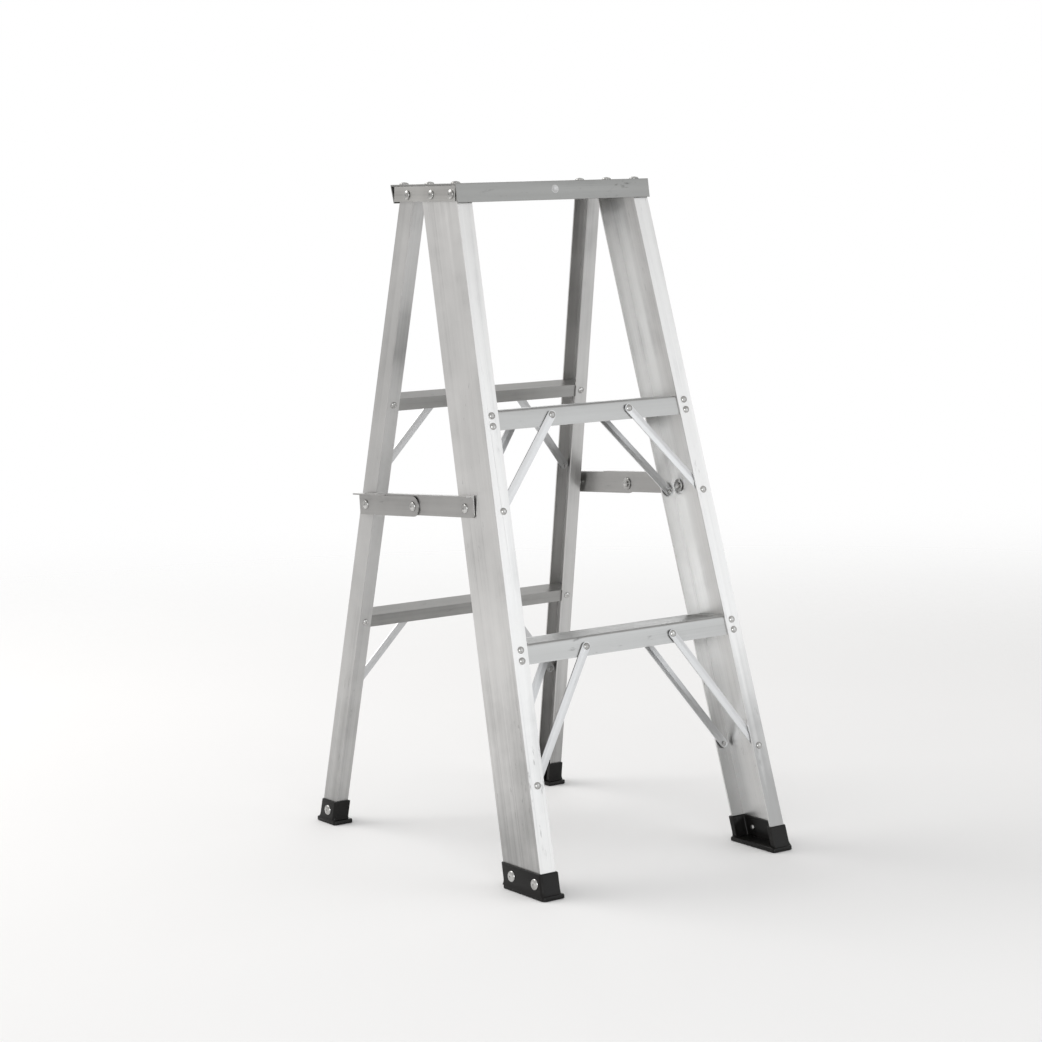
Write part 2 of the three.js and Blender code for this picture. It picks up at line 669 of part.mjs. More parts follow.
function rearLinkSolid(sign) {
  const length = distance(pivotMiddle, PIVOT_REAR);
  const end = length + LINK.behindRearPivot;
  const lipStart = end - LINK.rearLipLength;
  const top = LINK.rearHalf + LINK.rearLipRise;
  const plate = new THREE.Shape();
  plate.absarc(0, 0, LINK.rearHalf, Math.PI / 2, Math.PI * 1.5);
  plate.lineTo(end, -LINK.rearHalf);
  plate.lineTo(end, top);
  plate.lineTo(lipStart, top);
  plate.lineTo(lipStart, LINK.rearHalf);
  const lip = outline([
    [lipStart, top - LINK.plate], [end, top - LINK.plate], [end, top], [lipStart, top],
  ]);
  const body = join(
    sideSlab(plate, sign, LINK.rearPlateX, LINK.plate),
    sideSlab(lip, sign, LINK.rearPlateX, LINK.flangeOut),
  );
  const hole = rivetHole(PIVOT_RIVET, -HEIGHT, HEIGHT);
  return cut(body, hole, hole.clone().translate(length, 0, 0));
}

for (const side of SIDES) {
  const word = side.name;
  putAt(
    addPiece(`${word}_spreader_front_link`, frontLinkSolid(side.sign), ALUMINIUM),
    spreaderPlace(PIVOT_FRONT, 0),
  );
  putAt(
    addPiece(`${word}_spreader_rear_link`, rearLinkSolid(side.sign), ALUMINIUM),
    spreaderPlace(pivotMiddle, 0),
  );

  // Front pivot: rivet through the link and the rail's web, washer inside the channel.
  const linkOuter = LINK.frontPlateX + LINK.plate;
  const webInner = halfWidth(FRONT, PIVOT_FRONT.z) - FRONT.wall;
  const washerInner = webInner - GAP * 3 - WASHER.thickness;
  const frontRivetX = linkOuter + GAP;
  const frontPlace = sidePlace(side.sign, frontRivetX, PIVOT_FRONT.y, PIVOT_FRONT.z);
  addRivet(`${word}_spreader_front_rivet`, PIVOT_RIVET, frontRivetX - washerInner + GAP, frontPlace);
  addWasher(
    `${word}_spreader_front_washer`,
    sidePlace(side.sign, washerInner, PIVOT_FRONT.y, PIVOT_FRONT.z),
  );

  // Middle pivot: rivet through both links, washer on their inner side.
  const middleX = LINK.rearPlateX + LINK.plate + GAP;
  const middleWasherX = LINK.frontPlateX - GAP - WASHER.thickness;
  const middlePlace = sidePlace(side.sign, middleX, pivotMiddle.y, pivotMiddle.z);
  addRivet(`${word}_spreader_middle_rivet`, PIVOT_RIVET, middleX - middleWasherX + GAP, middlePlace);
  addWasher(
    `${word}_spreader_middle_washer`,
    sidePlace(side.sign, middleWasherX, pivotMiddle.y, pivotMiddle.z),
  );

  // Rear pivot: a spacer and a stud on the rear rail, and the rivet's head on the link.
  const spacerInner = halfWidth(REAR, PIVOT_REAR.z - WASHER.radius) + GAP;
  const spacerOuter = LINK.rearPlateX - GAP;
  const spacer = washerSolid(PIVOT_RIVET, WASHER.radius, spacerOuter - spacerInner);
  putAt(
    addPiece(`${word}_spreader_rear_spacer`, spacer, RIVET_METAL),
    sidePlace(side.sign, spacerInner, PIVOT_REAR.y, PIVOT_REAR.z),
  );
  const studEnd = spacerOuter;
  const studTail = halfWidth(REAR, PIVOT_REAR.z) - REAR.wall - GAP * 2;
  const stud = join(
    bar(PIVOT_RIVET.shank, studTail, studEnd, PIVOT_RIVET.sides),
    bar(PIVOT_RIVET.tail, studTail - PIVOT_RIVET.tailHeight, studTail, PIVOT_RIVET.sides),
  );
  putAt(
    addPiece(`${word}_spreader_rear_stud`, stud, RIVET_METAL),
    sidePlace(side.sign, 0, PIVOT_REAR.y, PIVOT_REAR.z),
  );
  const headSize = { ...PIVOT_RIVET, tail: PIVOT_RIVET.shank, tailHeight: GAP };
  const headPlace = sidePlace(side.sign, middleX, PIVOT_REAR.y, PIVOT_REAR.z);
  addRivet(`${word}_spreader_rear_rivet`, headSize, LINK.plate - GAP, headPlace);
}

// ---------------------------------------------------------------- shoes

// A moulded socket around the rail's foot, inside and outside, on a wider grooved sole.
function shoeSolid(rails, sign, shoe) {
  const outside = rails.footHalf + SHOE.skin;
  const tip = rails.footHalf - rails.flange - SHOE.skin;
  const lining = rails.footHalf - rails.wall - SHOE.skin;
  const wall = rails.wall + SHOE.skin;
  const socket = outline([
    [sign * tip, -SHOE.skin], [sign * outside, -SHOE.skin],
    [sign * outside, rails.web + SHOE.skin], [sign * tip, rails.web + SHOE.skin],
    [sign * tip, rails.web - wall], [sign * lining, rails.web - wall],
    [sign * lining, wall], [sign * tip, wall],
  ]);
  const walls = leaned(rails, sign, raise(socket, SHOE.sole - 1, SHOE.height));
  const slot = leaned(rails, sign, raise(channelShape(rails, sign, GAP), SHOE.sole, SHOE.height + 2));
  const width = shoe.outer - shoe.inner;
  const length = shoe.rearY - shoe.frontY;
  const sole = new THREE.BoxGeometry(width, length, SHOE.sole);
  sole.translate(sign * (shoe.inner + width / 2), shoe.frontY + length / 2, SHOE.sole / 2);
  const grooves = [];
  const count = Math.floor(length / (SHOE.groove * 3.4));
  for (let i = 1; i < count; i += 1) {
    const groove = new THREE.BoxGeometry(width + 4, SHOE.groove, SHOE.grooveDepth * 2);
    const y = shoe.frontY + (length / count) * i;
    grooves.push(groove.translate(sign * (shoe.inner + width / 2), y, 0));
  }
  return cut(join(walls, sole), slot, ...grooves, ...shoeHoles(sign, rails, shoe));
}

const SHOED = [
  { word: 'front', rails: FRONT, shoe: SHOE.front, splay: FRONT_SPLAY },
  { word: 'rear', rails: REAR, shoe: SHOE.rear, splay: REAR_SPLAY },
];

for (const { word, rails, shoe, splay } of SHOED) {
  for (const side of SIDES) {
    addPiece(`${word}_${side.name}_foot`, shoeSolid(rails, side.sign, shoe), BLACK_PLASTIC);
    shoe.rivets.forEach((inset, index) => {
      const y = shoeRivetY(rails, inset);
      const web = halfWidth(rails, SHOE.rivetZ);
      const grip = rails.wall + SHOE.skin * 2 + GAP * 2;
      const place = sidePlace(side.sign, web, y, SHOE.rivetZ, splay, SHOE.skin + GAP);
      addRivet(`${word}_${side.name}_foot_rivet_${index + 1}`, SHOE_RIVET, grip, place);
    });
  }
}

export default ladder;
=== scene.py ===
"""Looks of a double-sided folding step ladder in riveted aluminium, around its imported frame.

Lengths are metres, in the ladder's own frame: +Z up, the climbing side faces -Y.
"""

import math

import bmesh
import bpy
from mathutils import Matrix, Vector


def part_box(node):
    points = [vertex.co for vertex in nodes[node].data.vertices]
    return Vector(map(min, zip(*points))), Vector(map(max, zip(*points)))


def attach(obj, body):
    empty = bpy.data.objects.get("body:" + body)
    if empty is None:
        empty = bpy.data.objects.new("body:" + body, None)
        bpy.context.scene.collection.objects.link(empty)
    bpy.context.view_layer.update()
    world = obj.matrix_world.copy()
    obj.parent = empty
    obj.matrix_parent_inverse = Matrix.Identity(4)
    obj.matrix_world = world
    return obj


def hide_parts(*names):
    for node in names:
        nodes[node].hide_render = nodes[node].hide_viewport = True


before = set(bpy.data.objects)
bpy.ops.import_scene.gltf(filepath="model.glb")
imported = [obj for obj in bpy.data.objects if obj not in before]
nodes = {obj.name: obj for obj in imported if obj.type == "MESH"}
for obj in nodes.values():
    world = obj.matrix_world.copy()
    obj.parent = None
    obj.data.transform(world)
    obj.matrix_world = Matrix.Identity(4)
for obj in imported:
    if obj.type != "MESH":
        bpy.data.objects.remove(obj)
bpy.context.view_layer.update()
scene = bpy.context.scene

# ---------------------------------------------------------------- the ladder's own sizes

HEIGHT = 0.9
GAP = 0.0003
SIDES = (("left", -1), ("right", 1))

# Half widths over both webs and the front flange's y, at the ground and at HEIGHT.
FRONT = dict(foot_half=0.2021, top_half=0.1536, foot_y=-0.2804, top_y=-0.0495,
             web=0.0833, flange=0.0231, wall=0.0023)
REAR = dict(foot_half=0.198, top_half=0.153, foot_y=0.245, top_y=0.046,
            web=0.0343, flange=0.0194, wall=0.0019)

TREAD_TOPS = (0.6072, 0.3127)
TREAD_RIVET_DROPS = (0.0052, 0.0187)
TREAD_BACK_DROP = 0.0078
TREAD_RIVET_INSET = 0.0126
BAR_MIDDLES = (0.6022, 0.2965)
BAR_RIVET_INSET = 0.0103
LEVELS = ("upper", "lower")

# Upper rivet: distance from the middle and height; lower rivet: inset from the web and height.
FRONT_BRACES = ((0.063, 0.597, 0.0126, 0.4805), (0.071, 0.3005, 0.0126, 0.139))
BACK_BRACES = ((0.063, 0.591, 0.0126, 0.471), (0.071, 0.2945, 0.0126, 0.1295))
REAR_BRACES = ((0.068, 0.604, 0.0092, 0.4905), (0.076, 0.2983, 0.0092, 0.1788))
STRIP_DEPTH = 0.0026
STRIP_CREASE = 0.0008
STRIP_CLEARANCE = 0.0008
SKIRT_WALL = 0.002

CAP_DEPTH = 0.025
CAP_FRONT_Y = -0.0563
CAP_FRONT_SLANT = 0.0034
CAP_WALL = 0.0024
BRACKET_WALL = 0.0021
CAP_TOP_RIVETS_X = 0.1455
CAP_TOP_RIVETS_Y = (-0.039, 0.024, 0.087)
CAP_SIDE_RIVETS_Y = (-0.0438, 0.0038)
CAP_SIDE_RIVETS_Z = 0.886
PIVOT_FRONT = (-0.0908, 0.4805)
PIVOT_REAR = (0.1541, 0.465)

SHOE_RIVET_Z = 0.0186
SHOE_SKIN = 0.0027

# head radius, head height, shank radius, tail radius, tail height
SMALL_RIVET = (0.0047, 0.0024, 0.002, 0.0034, 0.0016)
CAP_RIVET = (0.0064, 0.0027, 0.0025, 0.004, 0.0022)
SHOE_RIVET = (0.0074, 0.0025, 0.0024, 0.0038, 0.002)
PIVOT_RIVET = (0.0066, 0.0027, 0.003, 0.0046, 0.0027)
WASHER_RADIUS = 0.0085
RIVET_SEGMENTS = 28
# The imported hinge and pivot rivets: head height, and tail heights by kind.
CAD_HEAD = 0.0024
CAD_TAILS = dict(hinge=0.002, pivot=0.0026, stud=GAP)


def half_width(rails, z):
    return rails["foot_half"] + (rails["top_half"] - rails["foot_half"]) * z / HEIGHT


def front_face(rails, z):
    return rails["foot_y"] + (rails["top_y"] - rails["foot_y"]) * z / HEIGHT


def lean(rails):
    return (rails["top_y"] - rails["foot_y"]) / HEIGHT


def splay(rails):
    return (rails["top_half"] - rails["foot_half"]) / HEIGHT


def basis(x_axis, y_axis, z_axis, origin):
    rows = zip(x_axis, y_axis, z_axis, origin)
    return Matrix([list(row) for row in rows] + [[0, 0, 0, 1]])


def flange_place(rails, x, y, z, facing):
    """On a leaning flange: X across, Y up the slope, Z out of the flange."""
    up = Vector((0, lean(rails), 1)).normalized()
    across = Vector((facing, 0, 0))
    return basis(across, up, across.cross(up), (x, y, z))


def side_place(sign, x, y, z, tilt=0.0, stand=0.0):
    """On a side face: Z points away from the ladder's middle."""
    out = Vector((sign * math.cos(tilt), 0, math.sin(tilt)))
    across = Vector((0, sign, 0))
    origin = Vector((sign * x, y, z)) + out * stand
    return basis(across, out.cross(across), out, origin)


# ---------------------------------------------------------------- materials

FLOOR_RADIUS = 4.0
ROOM_LIGHT = 0.68
FRONT_RAIL_COLOUR = (0.72, 0.716, 0.708)
# The rear rails are the same aluminium as the front rails, made darker as painted shade.
REAR_RAIL_SHADED_COLOUR = (0.6, 0.597, 0.59)
TREAD_COLOUR = (0.455, 0.456, 0.45)
# The rear bars are the same aluminium as the treads, made darker as painted shade: a painted reflection of
# the darker floor beneath them.
BAR_SHADED_COLOUR = (0.37, 0.368, 0.36)
CAP_COLOUR = (0.32, 0.32, 0.312)
BRACKET_COLOUR = (0.52, 0.515, 0.5)
LINK_COLOUR = (0.44, 0.436, 0.428)
STRIP_COLOUR = (0.68, 0.685, 0.69)
DOT_COLOUR = (0.6, 0.6, 0.6)
# How much darker the rails get towards the ground, on the web and on the flanges.
LOW_DARKENING = dict(front_left=(0.6, 0.05), front_right=(0.0, 0.95), rear_left=(0.5, 0.3), rear_right=(0.4, 0.5))


class Graph:
    """A small helper to build a material's nodes."""

    def __init__(self, name):
        self.material = bpy.data.materials.new(name)
        self.material.use_nodes = True
        self.tree = self.material.node_tree
        self.shader = self.tree.nodes["Principled BSDF"]
        self.place = self.add("ShaderNodeTexCoord").outputs["Object"]

    def add(self, kind, **values):
        node = self.tree.nodes.new(kind)
        for key, value in values.items():
            setattr(node, key, value)
        return node

    def link(self, source, target):
        self.tree.links.new(source, target)

    def turned(self, source, along):
        """Coordinates turned so that their Z runs along a direction."""
        turn = Vector(along).normalized().rotation_difference(Vector((0, 0, 1)))
        node = self.add("ShaderNodeMapping")
        node.inputs["Rotation"].default_value = turn.to_euler("XYZ")
        self.link(source, node.inputs["Vector"])
        return node.outputs["Vector"]

    def stretched(self, source, scale):
        node = self.add("ShaderNodeMapping")
        node.inputs["Scale"].default_value = scale
        self.link(source, node.inputs["Vector"])
        return node.outputs["Vector"]

    def noise(self, source, scale=1.0, detail=2.0, roughness=0.5):
        node = self.add("ShaderNodeTexNoise")
        node.inputs["Scale"].default_value = scale
        node.inputs["Detail"].default_value = detail
        node.inputs["Roughness"].default_value = roughness
        self.link(source, node.inputs["Vector"])
        return node.outputs["Fac"]

    def fit(self, source, low, high, to_low, to_high):
        node = self.add("ShaderNodeMapRange")
        for key, value in (("From Min", low), ("From Max", high), ("To Min", to_low), ("To Max", to_high)):
            node.inputs[key].default_value = value
        self.link(source, node.inputs["Value"])
        return node.outputs["Result"]

    def sum(self, *sources):
        total = sources[0]
        for source in sources[1:]:
            node = self.add("ShaderNodeMath", operation="ADD")
            self.link(total, node.inputs[0])
            self.link(source, node.inputs[1])
            total = node.outputs[0]
        return total

    def product(self, first, second):
        node = self.add("ShaderNodeMath", operation="MULTIPLY")
        self.link(first, node.inputs[0])
        self.link(second, node.inputs[1])
        return node.outputs[0]

    def times(self, source, factor):
        node = self.add("ShaderNodeMath", operation="MULTIPLY")
        self.link(source, node.inputs[0])
        node.inputs[1].default_value = factor
        return node.outputs[0]

    def ramp(self, source, stops):
        node = self.add("ShaderNodeValToRGB")
        elements = node.color_ramp.elements
        while len(elements) < len(stops):
            elements.new(0.5)
        for element, (position, colour) in zip(elements, stops):
            element.position = position
            element.color = (*colour, 1)
        self.link(source, node.inputs["Fac"])
        return node.outputs["Color"]

    def height(self):
        node = self.add("ShaderNodeSeparateXYZ")
        self.link(self.place, node.inputs["Vector"])
        return node.outputs["Z"]

    def sideways(self):
        """1 on faces that look to the ladder's left or right, 0 on those that look to its front or rear."""
        normal = self.add("ShaderNodeSeparateXYZ")
        self.link(self.add("ShaderNodeTexCoord").outputs["Normal"], normal.inputs["Vector"])
        node = self.add("ShaderNodeMath", operation="ABSOLUTE")
        self.link(normal.outputs["X"], node.inputs[0])
        return node.outputs[0]

    def bump(self, source, distance, strength):
        node = self.add("ShaderNodeBump")
        node.inputs["Distance"].default_value = distance
        node.inputs["Strength"].default_value = strength
        self.link(source, node.inputs["Height"])
        self.link(node.outputs["Normal"], self.shader.inputs["Normal"])

    def set(self, **values):
        for key, value in values.items():
            self.shader.inputs[key.replace("_", " ")].default_value = value


def shade(colour, factor):
    return tuple(channel * factor for channel in colour)


def mill_aluminium(name, along, colour, roughness=0.36, scuffs=0.08, low_darkening=(0, 0)):
    """Extruded aluminium: fine die lines along the section, a dull bloom and a few dark scuffs."""
    g = Graph(name)
    lengthwise = g.turned(g.place, along)
    lines = g.noise(g.stretched(lengthwise, (520, 520, 3)), detail=3, roughness=0.65)
    bands = g.noise(g.stretched(lengthwise, (85, 85, 1.6)), detail=2)
    bloom = g.noise(g.place, scale=11, detail=4, roughness=0.6)
    marks = g.noise(g.stretched(lengthwise, (150, 150, 38)), detail=4, roughness=0.7)
    patches = g.noise(g.place, scale=6.5, detail=1)
    mixed = g.sum(
        g.fit(lines, 0.3, 0.7, -0.1, 0.1),
        g.fit(bands, 0.3, 0.7, -0.12, 0.12),
        g.fit(bloom, 0.3, 0.7, 0.5, 0.85),
    )
    dark = g.product(g.fit(marks, 0.62, 0.72, 0.0, 1.0), g.fit(patches, 0.5, 0.62, 0.0, scuffs))
    # Darker towards the ground, by separate amounts on faces that look sideways and on those that look
    # forward or back.
    web_darkening, flange_darkening = low_darkening
    low = g.product(g.fit(g.height(), 0.03, 0.32, -1, 0), g.fit(g.sideways(), 0, 1, flange_darkening, web_darkening))
    tone = g.sum(mixed, low, g.times(dark, -6))
    stops = [
        (0.0, shade(colour, 0.5)), (0.6, shade(colour, 0.95)), (1.0, shade(colour, 1.08)),
    ]
    g.link(g.ramp(tone, stops), g.shader.inputs["Base Color"])
    rough = g.sum(
        g.fit(lines, 0.3, 0.7, roughness - 0.05, roughness + 0.05),
        g.fit(bloom, 0.3, 0.7, -0.04, 0.06),
        dark,
    )
    g.link(rough, g.shader.inputs["Roughness"])
    g.bump(lines, 0.00012, 0.35)
    g.set(Metallic=1.0)
    return g.material


def rivet_metal():
    """Bright, lightly hammered rivet heads."""
    g = Graph("rivet_metal")
    dents = g.noise(g.place, scale=620, detail=2)
    tarnish = g.noise(g.place, scale=90, detail=3)
    g.link(g.ramp(tarnish, [(0.3, (0.36, 0.355, 0.345)), (0.7, (0.62, 0.62, 0.61))]),
           g.shader.inputs["Base Color"])
    g.link(g.fit(tarnish, 0.3, 0.7, 0.3, 0.16), g.shader.inputs["Roughness"])
    g.bump(dents, 0.0002, 0.25)
    g.set(Metallic=1.0)
    return g.material


def black_plastic():
    """Moulded black plastic: a fine grain, satin, a little dusty in patches."""
    g = Graph("moulded_black_plastic")
    grain = g.noise(g.place, scale=1500, detail=2)
    cloud = g.noise(g.place, scale=60, detail=4, roughness=0.6)
    g.link(g.ramp(cloud, [(0.3, (0.004, 0.0037, 0.0035)), (0.75, (0.009, 0.0083, 0.0078))]),
           g.shader.inputs["Base Color"])
    g.link(g.fit(cloud, 0.3, 0.7, 0.26, 0.4), g.shader.inputs["Roughness"])
    g.bump(grain, 0.0002, 0.15)
    g.set(Metallic=0.0, Specular_IOR_Level=0.22)
    return g.material


def floor_paint():
    """Pale paint that fades out into the backdrop well away from the ladder."""
    fade_from, fade_to = 1.0, FLOOR_RADIUS * 0.98
    g = Graph("pale_floor")
    cloud = g.noise(g.place, scale=1.3, detail=2)
    g.link(g.ramp(cloud, [(0.0, (0.9, 0.9, 0.9)), (1.0, (0.93, 0.93, 0.93))]),
           g.shader.inputs["Base Color"])
    g.link(g.fit(cloud, 0, 1, 0.85, 0.95), g.shader.inputs["Roughness"])
    distance = g.add("ShaderNodeVectorMath", operation="LENGTH")
    g.link(g.place, distance.inputs[0])
    fade = g.add("ShaderNodeMapRange", interpolation_type="SMOOTHERSTEP")
    fade.inputs["From Min"].default_value = fade_from
    fade.inputs["From Max"].default_value = fade_to
    fade.inputs["To Min"].default_value = 1.0
    fade.inputs["To Max"].default_value = 0.0
    g.link(distance.outputs["Value"], fade.inputs["Value"])
    g.link(fade.outputs["Result"], g.shader.inputs["Alpha"])
    return g.material


rivet_look = rivet_metal()
plastic_look = black_plastic()
dot_look = mill_aluminium("dot_metal", (1, 0, 0), DOT_COLOUR, roughness=0.5)


def dress(piece, look):
    piece.data.materials.clear()
    piece.data.materials.append(look)


# ---------------------------------------------------------------- CAD pieces that stay

def soften(node, width, segments=2):
    """Rounds a CAD piece's edges, and shades its flat faces as flat."""
    mesh = node.data
    if "custom_normal" in mesh.attributes:
        mesh.attributes.remove(mesh.attributes["custom_normal"])
    mesh.polygons.foreach_set("use_smooth", [True] * len(mesh.polygons))
    weld = node.modifiers.new("weld", "WELD")
    weld.merge_threshold = 1e-6
    bevel = node.modifiers.new("edge_radius", "BEVEL")
    bevel.width = width
    bevel.segments = segments
    bevel.limit_method = "ANGLE"
    bevel.angle_limit = math.radians(32)
    bevel.miter_outer = "MITER_ARC"
    flat = node.modifiers.new("flat_faces", "WEIGHTED_NORMAL")
    flat.mode = "FACE_AREA"
    flat.weight = 90


def rail_direction(rails, sign):
    return (sign * splay(rails), lean(rails), 1)


# The rear rails take their darker colour, which is painted shade.
for word, rails, colour in (("front", FRONT, FRONT_RAIL_COLOUR), ("rear", REAR, REAR_RAIL_SHADED_COLOUR)):
    for side, sign in SIDES:
        rail = nodes[f"{word}_{side}_rail"]
        along = rail_direction(rails, sign)
        low_darkening = LOW_DARKENING[f"{word}_{side}"]
        dress(rail, mill_aluminium(f"{word}_{side}_rail_metal", along, colour, low_darkening=low_darkening))
        soften(rail, 0.0006)

# The bars' metal is darker than the treads' metal as painted shade.
tread_metals = {
    "front": mill_aluminium("tread_metal", (1, 0, 0), TREAD_COLOUR),
    "rear": mill_aluminium("bar_shaded_metal", (1, 0, 0), BAR_SHADED_COLOUR),
}
for word, tread_metal in tread_metals.items():
    for level in LEVELS:
        tread = nodes[f"{word}_{level}_tread"]
        dress(tread, tread_metal)
        soften(tread, 0.0004)

cap_metal = mill_aluminium("cap_metal", (1, 0, 0), CAP_COLOUR, roughness=0.4)
dress(nodes["top_cap"], cap_metal)
soften(nodes["top_cap"], 0.0005)
bracket_metal = mill_aluminium("bracket_metal", (0, 1, 0), BRACKET_COLOUR)
spreader_way = (0, PIVOT_REAR[0] - PIVOT_FRONT[0], PIVOT_REAR[1] - PIVOT_FRONT[1])
link_metal = mill_aluminium("link_metal", spreader_way, LINK_COLOUR)
for side, sign in SIDES:
    dress(nodes[f"{side}_end_bracket"], bracket_metal)
    soften(nodes[f"{side}_end_bracket"], 0.0004)
    for end in ("front", "rear"):
        dress(nodes[f"{side}_spreader_{end}_link"], link_metal)
        soften(nodes[f"{side}_spreader_{end}_link"], 0.0004)


# ---------------------------------------------------------------- rivets

def turned_ring(mesh, place, radius, z, segments):
    """A circle of vertices about the place's Z axis, or the single one on it."""
    if radius == 0:
        return [mesh.verts.new(place @ Vector((0, 0, z)))]
    ring = []
    for i in range(segments):
        angle = math.tau * i / segments
        point = Vector((radius * math.cos(angle), radius * math.sin(angle), z))
        ring.append(mesh.verts.new(place @ point))
    return ring


def lathe(mesh, profile, place, segments=RIVET_SEGMENTS):
    """Adds a closed turned solid; the profile runs from the axis to the axis, as (radius, z)."""
    rings = [turned_ring(mesh, place, radius, z, segments) for radius, z in profile]
    for low, high in zip(rings, rings[1:]):
        for i in range(segments):
            j = (i + 1) % segments
            if len(low) == 1:
                corners = (low[0], high[j], high[i])
            elif len(high) == 1:
                corners = (low[i], low[j], high[0])
            else:
                corners = (low[i], low[j], high[j], high[i])
            mesh.faces.new(corners)


def rivet_profile(size, grip, foot=GAP):
    """A blind rivet: upset tail, shank, domed head with the broken mandrel sunk in its middle."""
    head, height, shank, tail, tail_height = size
    low = -grip - tail_height
    dome = []
    steps = 7
    rim, crown = math.radians(8), math.radians(82)
    for i in range(steps + 1):
        turn = rim + (crown - rim) * i / steps
        dome.append((head * math.cos(turn) / math.cos(rim), height * math.sin(turn)))
    top = dome[-1][1]
    bore = head * 0.22
    return [
        (0, low), (tail * 0.55, low), (tail * 0.9, low + tail_height * 0.25),
        (tail, low + tail_height * 0.6), (tail * 0.96, -grip),
        (shank, -grip), (shank, -foot), (head * 0.985, -foot), (head, 0),
        *dome[1:], (bore * 1.15, top), (bore, top - height * 0.12),
        (bore * 0.9, top - height * 0.5), (bore * 0.5, top - height * 0.42), (0, top - height * 0.38),
    ]


def washer_profile(inner, outer, thickness):
    edge = thickness * 0.25
    return [
        (inner, 0), (outer - edge, 0), (outer, edge), (outer, thickness - edge),
        (outer - edge, thickness), (inner, thickness),
    ]


def ring_solid(mesh, profile, place, segments=RIVET_SEGMENTS):
    """Adds a turned ring, whose profile closes on itself."""
    rings = [turned_ring(mesh, place, radius, z, segments) for radius, z in profile]
    for low, high in zip(rings, rings[1:] + rings[:1]):
        for i in range(segments):
            j = (i + 1) % segments
            mesh.faces.new((low[i], low[j], high[j], high[i]))


def finish_piece(name, mesh, look, body, smooth_angle=38):
    bmesh.ops.recalc_face_normals(mesh, faces=mesh.faces)
    data = bpy.data.meshes.new(name)
    mesh.to_mesh(data)
    mesh.free()
    data.polygons.foreach_set("use_smooth", [True] * len(data.polygons))
    data.set_sharp_from_angle(angle=math.radians(smooth_angle))
    piece = bpy.data.objects.new(name, data)
    scene.collection.objects.link(piece)
    data.materials.append(look)
    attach(piece, body)
    return piece


def add_rivets(name, body, size, rivets, replaced=()):
    """One piece of several alike rivets. Each is (place, grip)."""
    mesh = bmesh.new()
    for place, grip in rivets:
        lathe(mesh, rivet_profile(size, grip), place)
    piece = finish_piece(name, mesh, rivet_look, body)
    if replaced:
        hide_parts(*replaced)
    return piece


def member_rivets(rails, heights, inset, facing, skirt_wall):
    slope = math.hypot(1, lean(rails))
    plane = -GAP * slope if facing > 0 else rails["web"] + GAP * slope
    rivets = []
    for z in heights:
        for _, sign in SIDES:
            x = sign * (half_width(rails, z) - inset)
            place = flange_place(rails, x, front_face(rails, z) + plane, z, facing)
            rivets.append((place, rails["wall"] + GAP * 2 + skirt_wall))
    return rivets


def brace_frame(rails, spec, sign, facing):
    """The strip's frame: X from its upper rivet to its lower one, Z out of its face."""
    upper_x, upper_z, inset, lower_z = spec
    slope = math.hypot(1, lean(rails))
    face = 0 if facing > 0 else rails["web"]
    upper_depth = rails["wall"] + GAP - STRIP_CLEARANCE - STRIP_DEPTH
    lower_depth = rails["wall"] + STRIP_CLEARANCE
    upper = Vector((sign * upper_x, 0, upper_z))
    lower = Vector((sign * (half_width(rails, lower_z) - inset), 0, lower_z))
    upper.y = front_face(rails, upper_z) + face + facing * upper_depth * slope
    lower.y = front_face(rails, lower_z) + face + facing * lower_depth * slope
    along = (lower - upper).normalized()
    up = Vector((0, lean(rails), 1)).normalized()
    width = Vector((facing, 0, 0)).cross(up).cross(along).normalized()
    return basis(along, width, along.cross(width), upper), (lower - upper).length


for row, level in enumerate(LEVELS):
    top = TREAD_TOPS[row]
    front_heights = [top - drop for drop in TREAD_RIVET_DROPS]
    back_heights = [z - TREAD_BACK_DROP for z in front_heights]
    add_rivets(
        f"front_{level}_tread_rivets", "front_frame", SMALL_RIVET,
        member_rivets(FRONT, front_heights, TREAD_RIVET_INSET, 1, SKIRT_WALL)
        + member_rivets(FRONT, back_heights, TREAD_RIVET_INSET, -1, SKIRT_WALL),
    )
    middle = BAR_MIDDLES[row]
    bar_depth = (REAR["web"] - (REAR["wall"] + GAP) * 2) / math.hypot(1, lean(REAR)) ** 2
    add_rivets(
        f"rear_{level}_tread_rivets", "rear_frame", SMALL_RIVET,
        member_rivets(REAR, [middle], BAR_RIVET_INSET, 1, SKIRT_WALL)
        + member_rivets(REAR, [middle - bar_depth * lean(REAR)], BAR_RIVET_INSET, -1, SKIRT_WALL),
    )

BRACE_SETS = (
    ("front", FRONT, FRONT_BRACES, 1, "front_frame"),
    ("back", FRONT, BACK_BRACES, -1, "front_frame"),
    ("rear", REAR, REAR_BRACES, -1, "rear_frame"),
)
for word, rails, specs, facing, body in BRACE_SETS:
    for row, level in enumerate(LEVELS):
        for side, sign in SIDES:
            name = f"{level}_{side}_{word}_brace"
            place, length = brace_frame(rails, specs[row], sign, facing)
            strip = nodes[name]
            dress(strip, mill_aluminium(f"{name}_metal", place.col[0].xyz, STRIP_COLOUR, 0.42))
            soften(strip, 0.0003)
            upper = place @ Matrix.Translation((0, 0, -STRIP_CREASE / 2))
            stand = rails["wall"] + STRIP_CLEARANCE + GAP
            lower = place @ Matrix.Translation((length, 0, stand))
            upper_grip = STRIP_DEPTH + STRIP_CLEARANCE + SKIRT_WALL + GAP
            lower_grip = stand + STRIP_DEPTH - STRIP_CREASE / 2
            add_rivets(f"{name}_rivets", body, SMALL_RIVET, [(upper, upper_grip), (lower, lower_grip)])

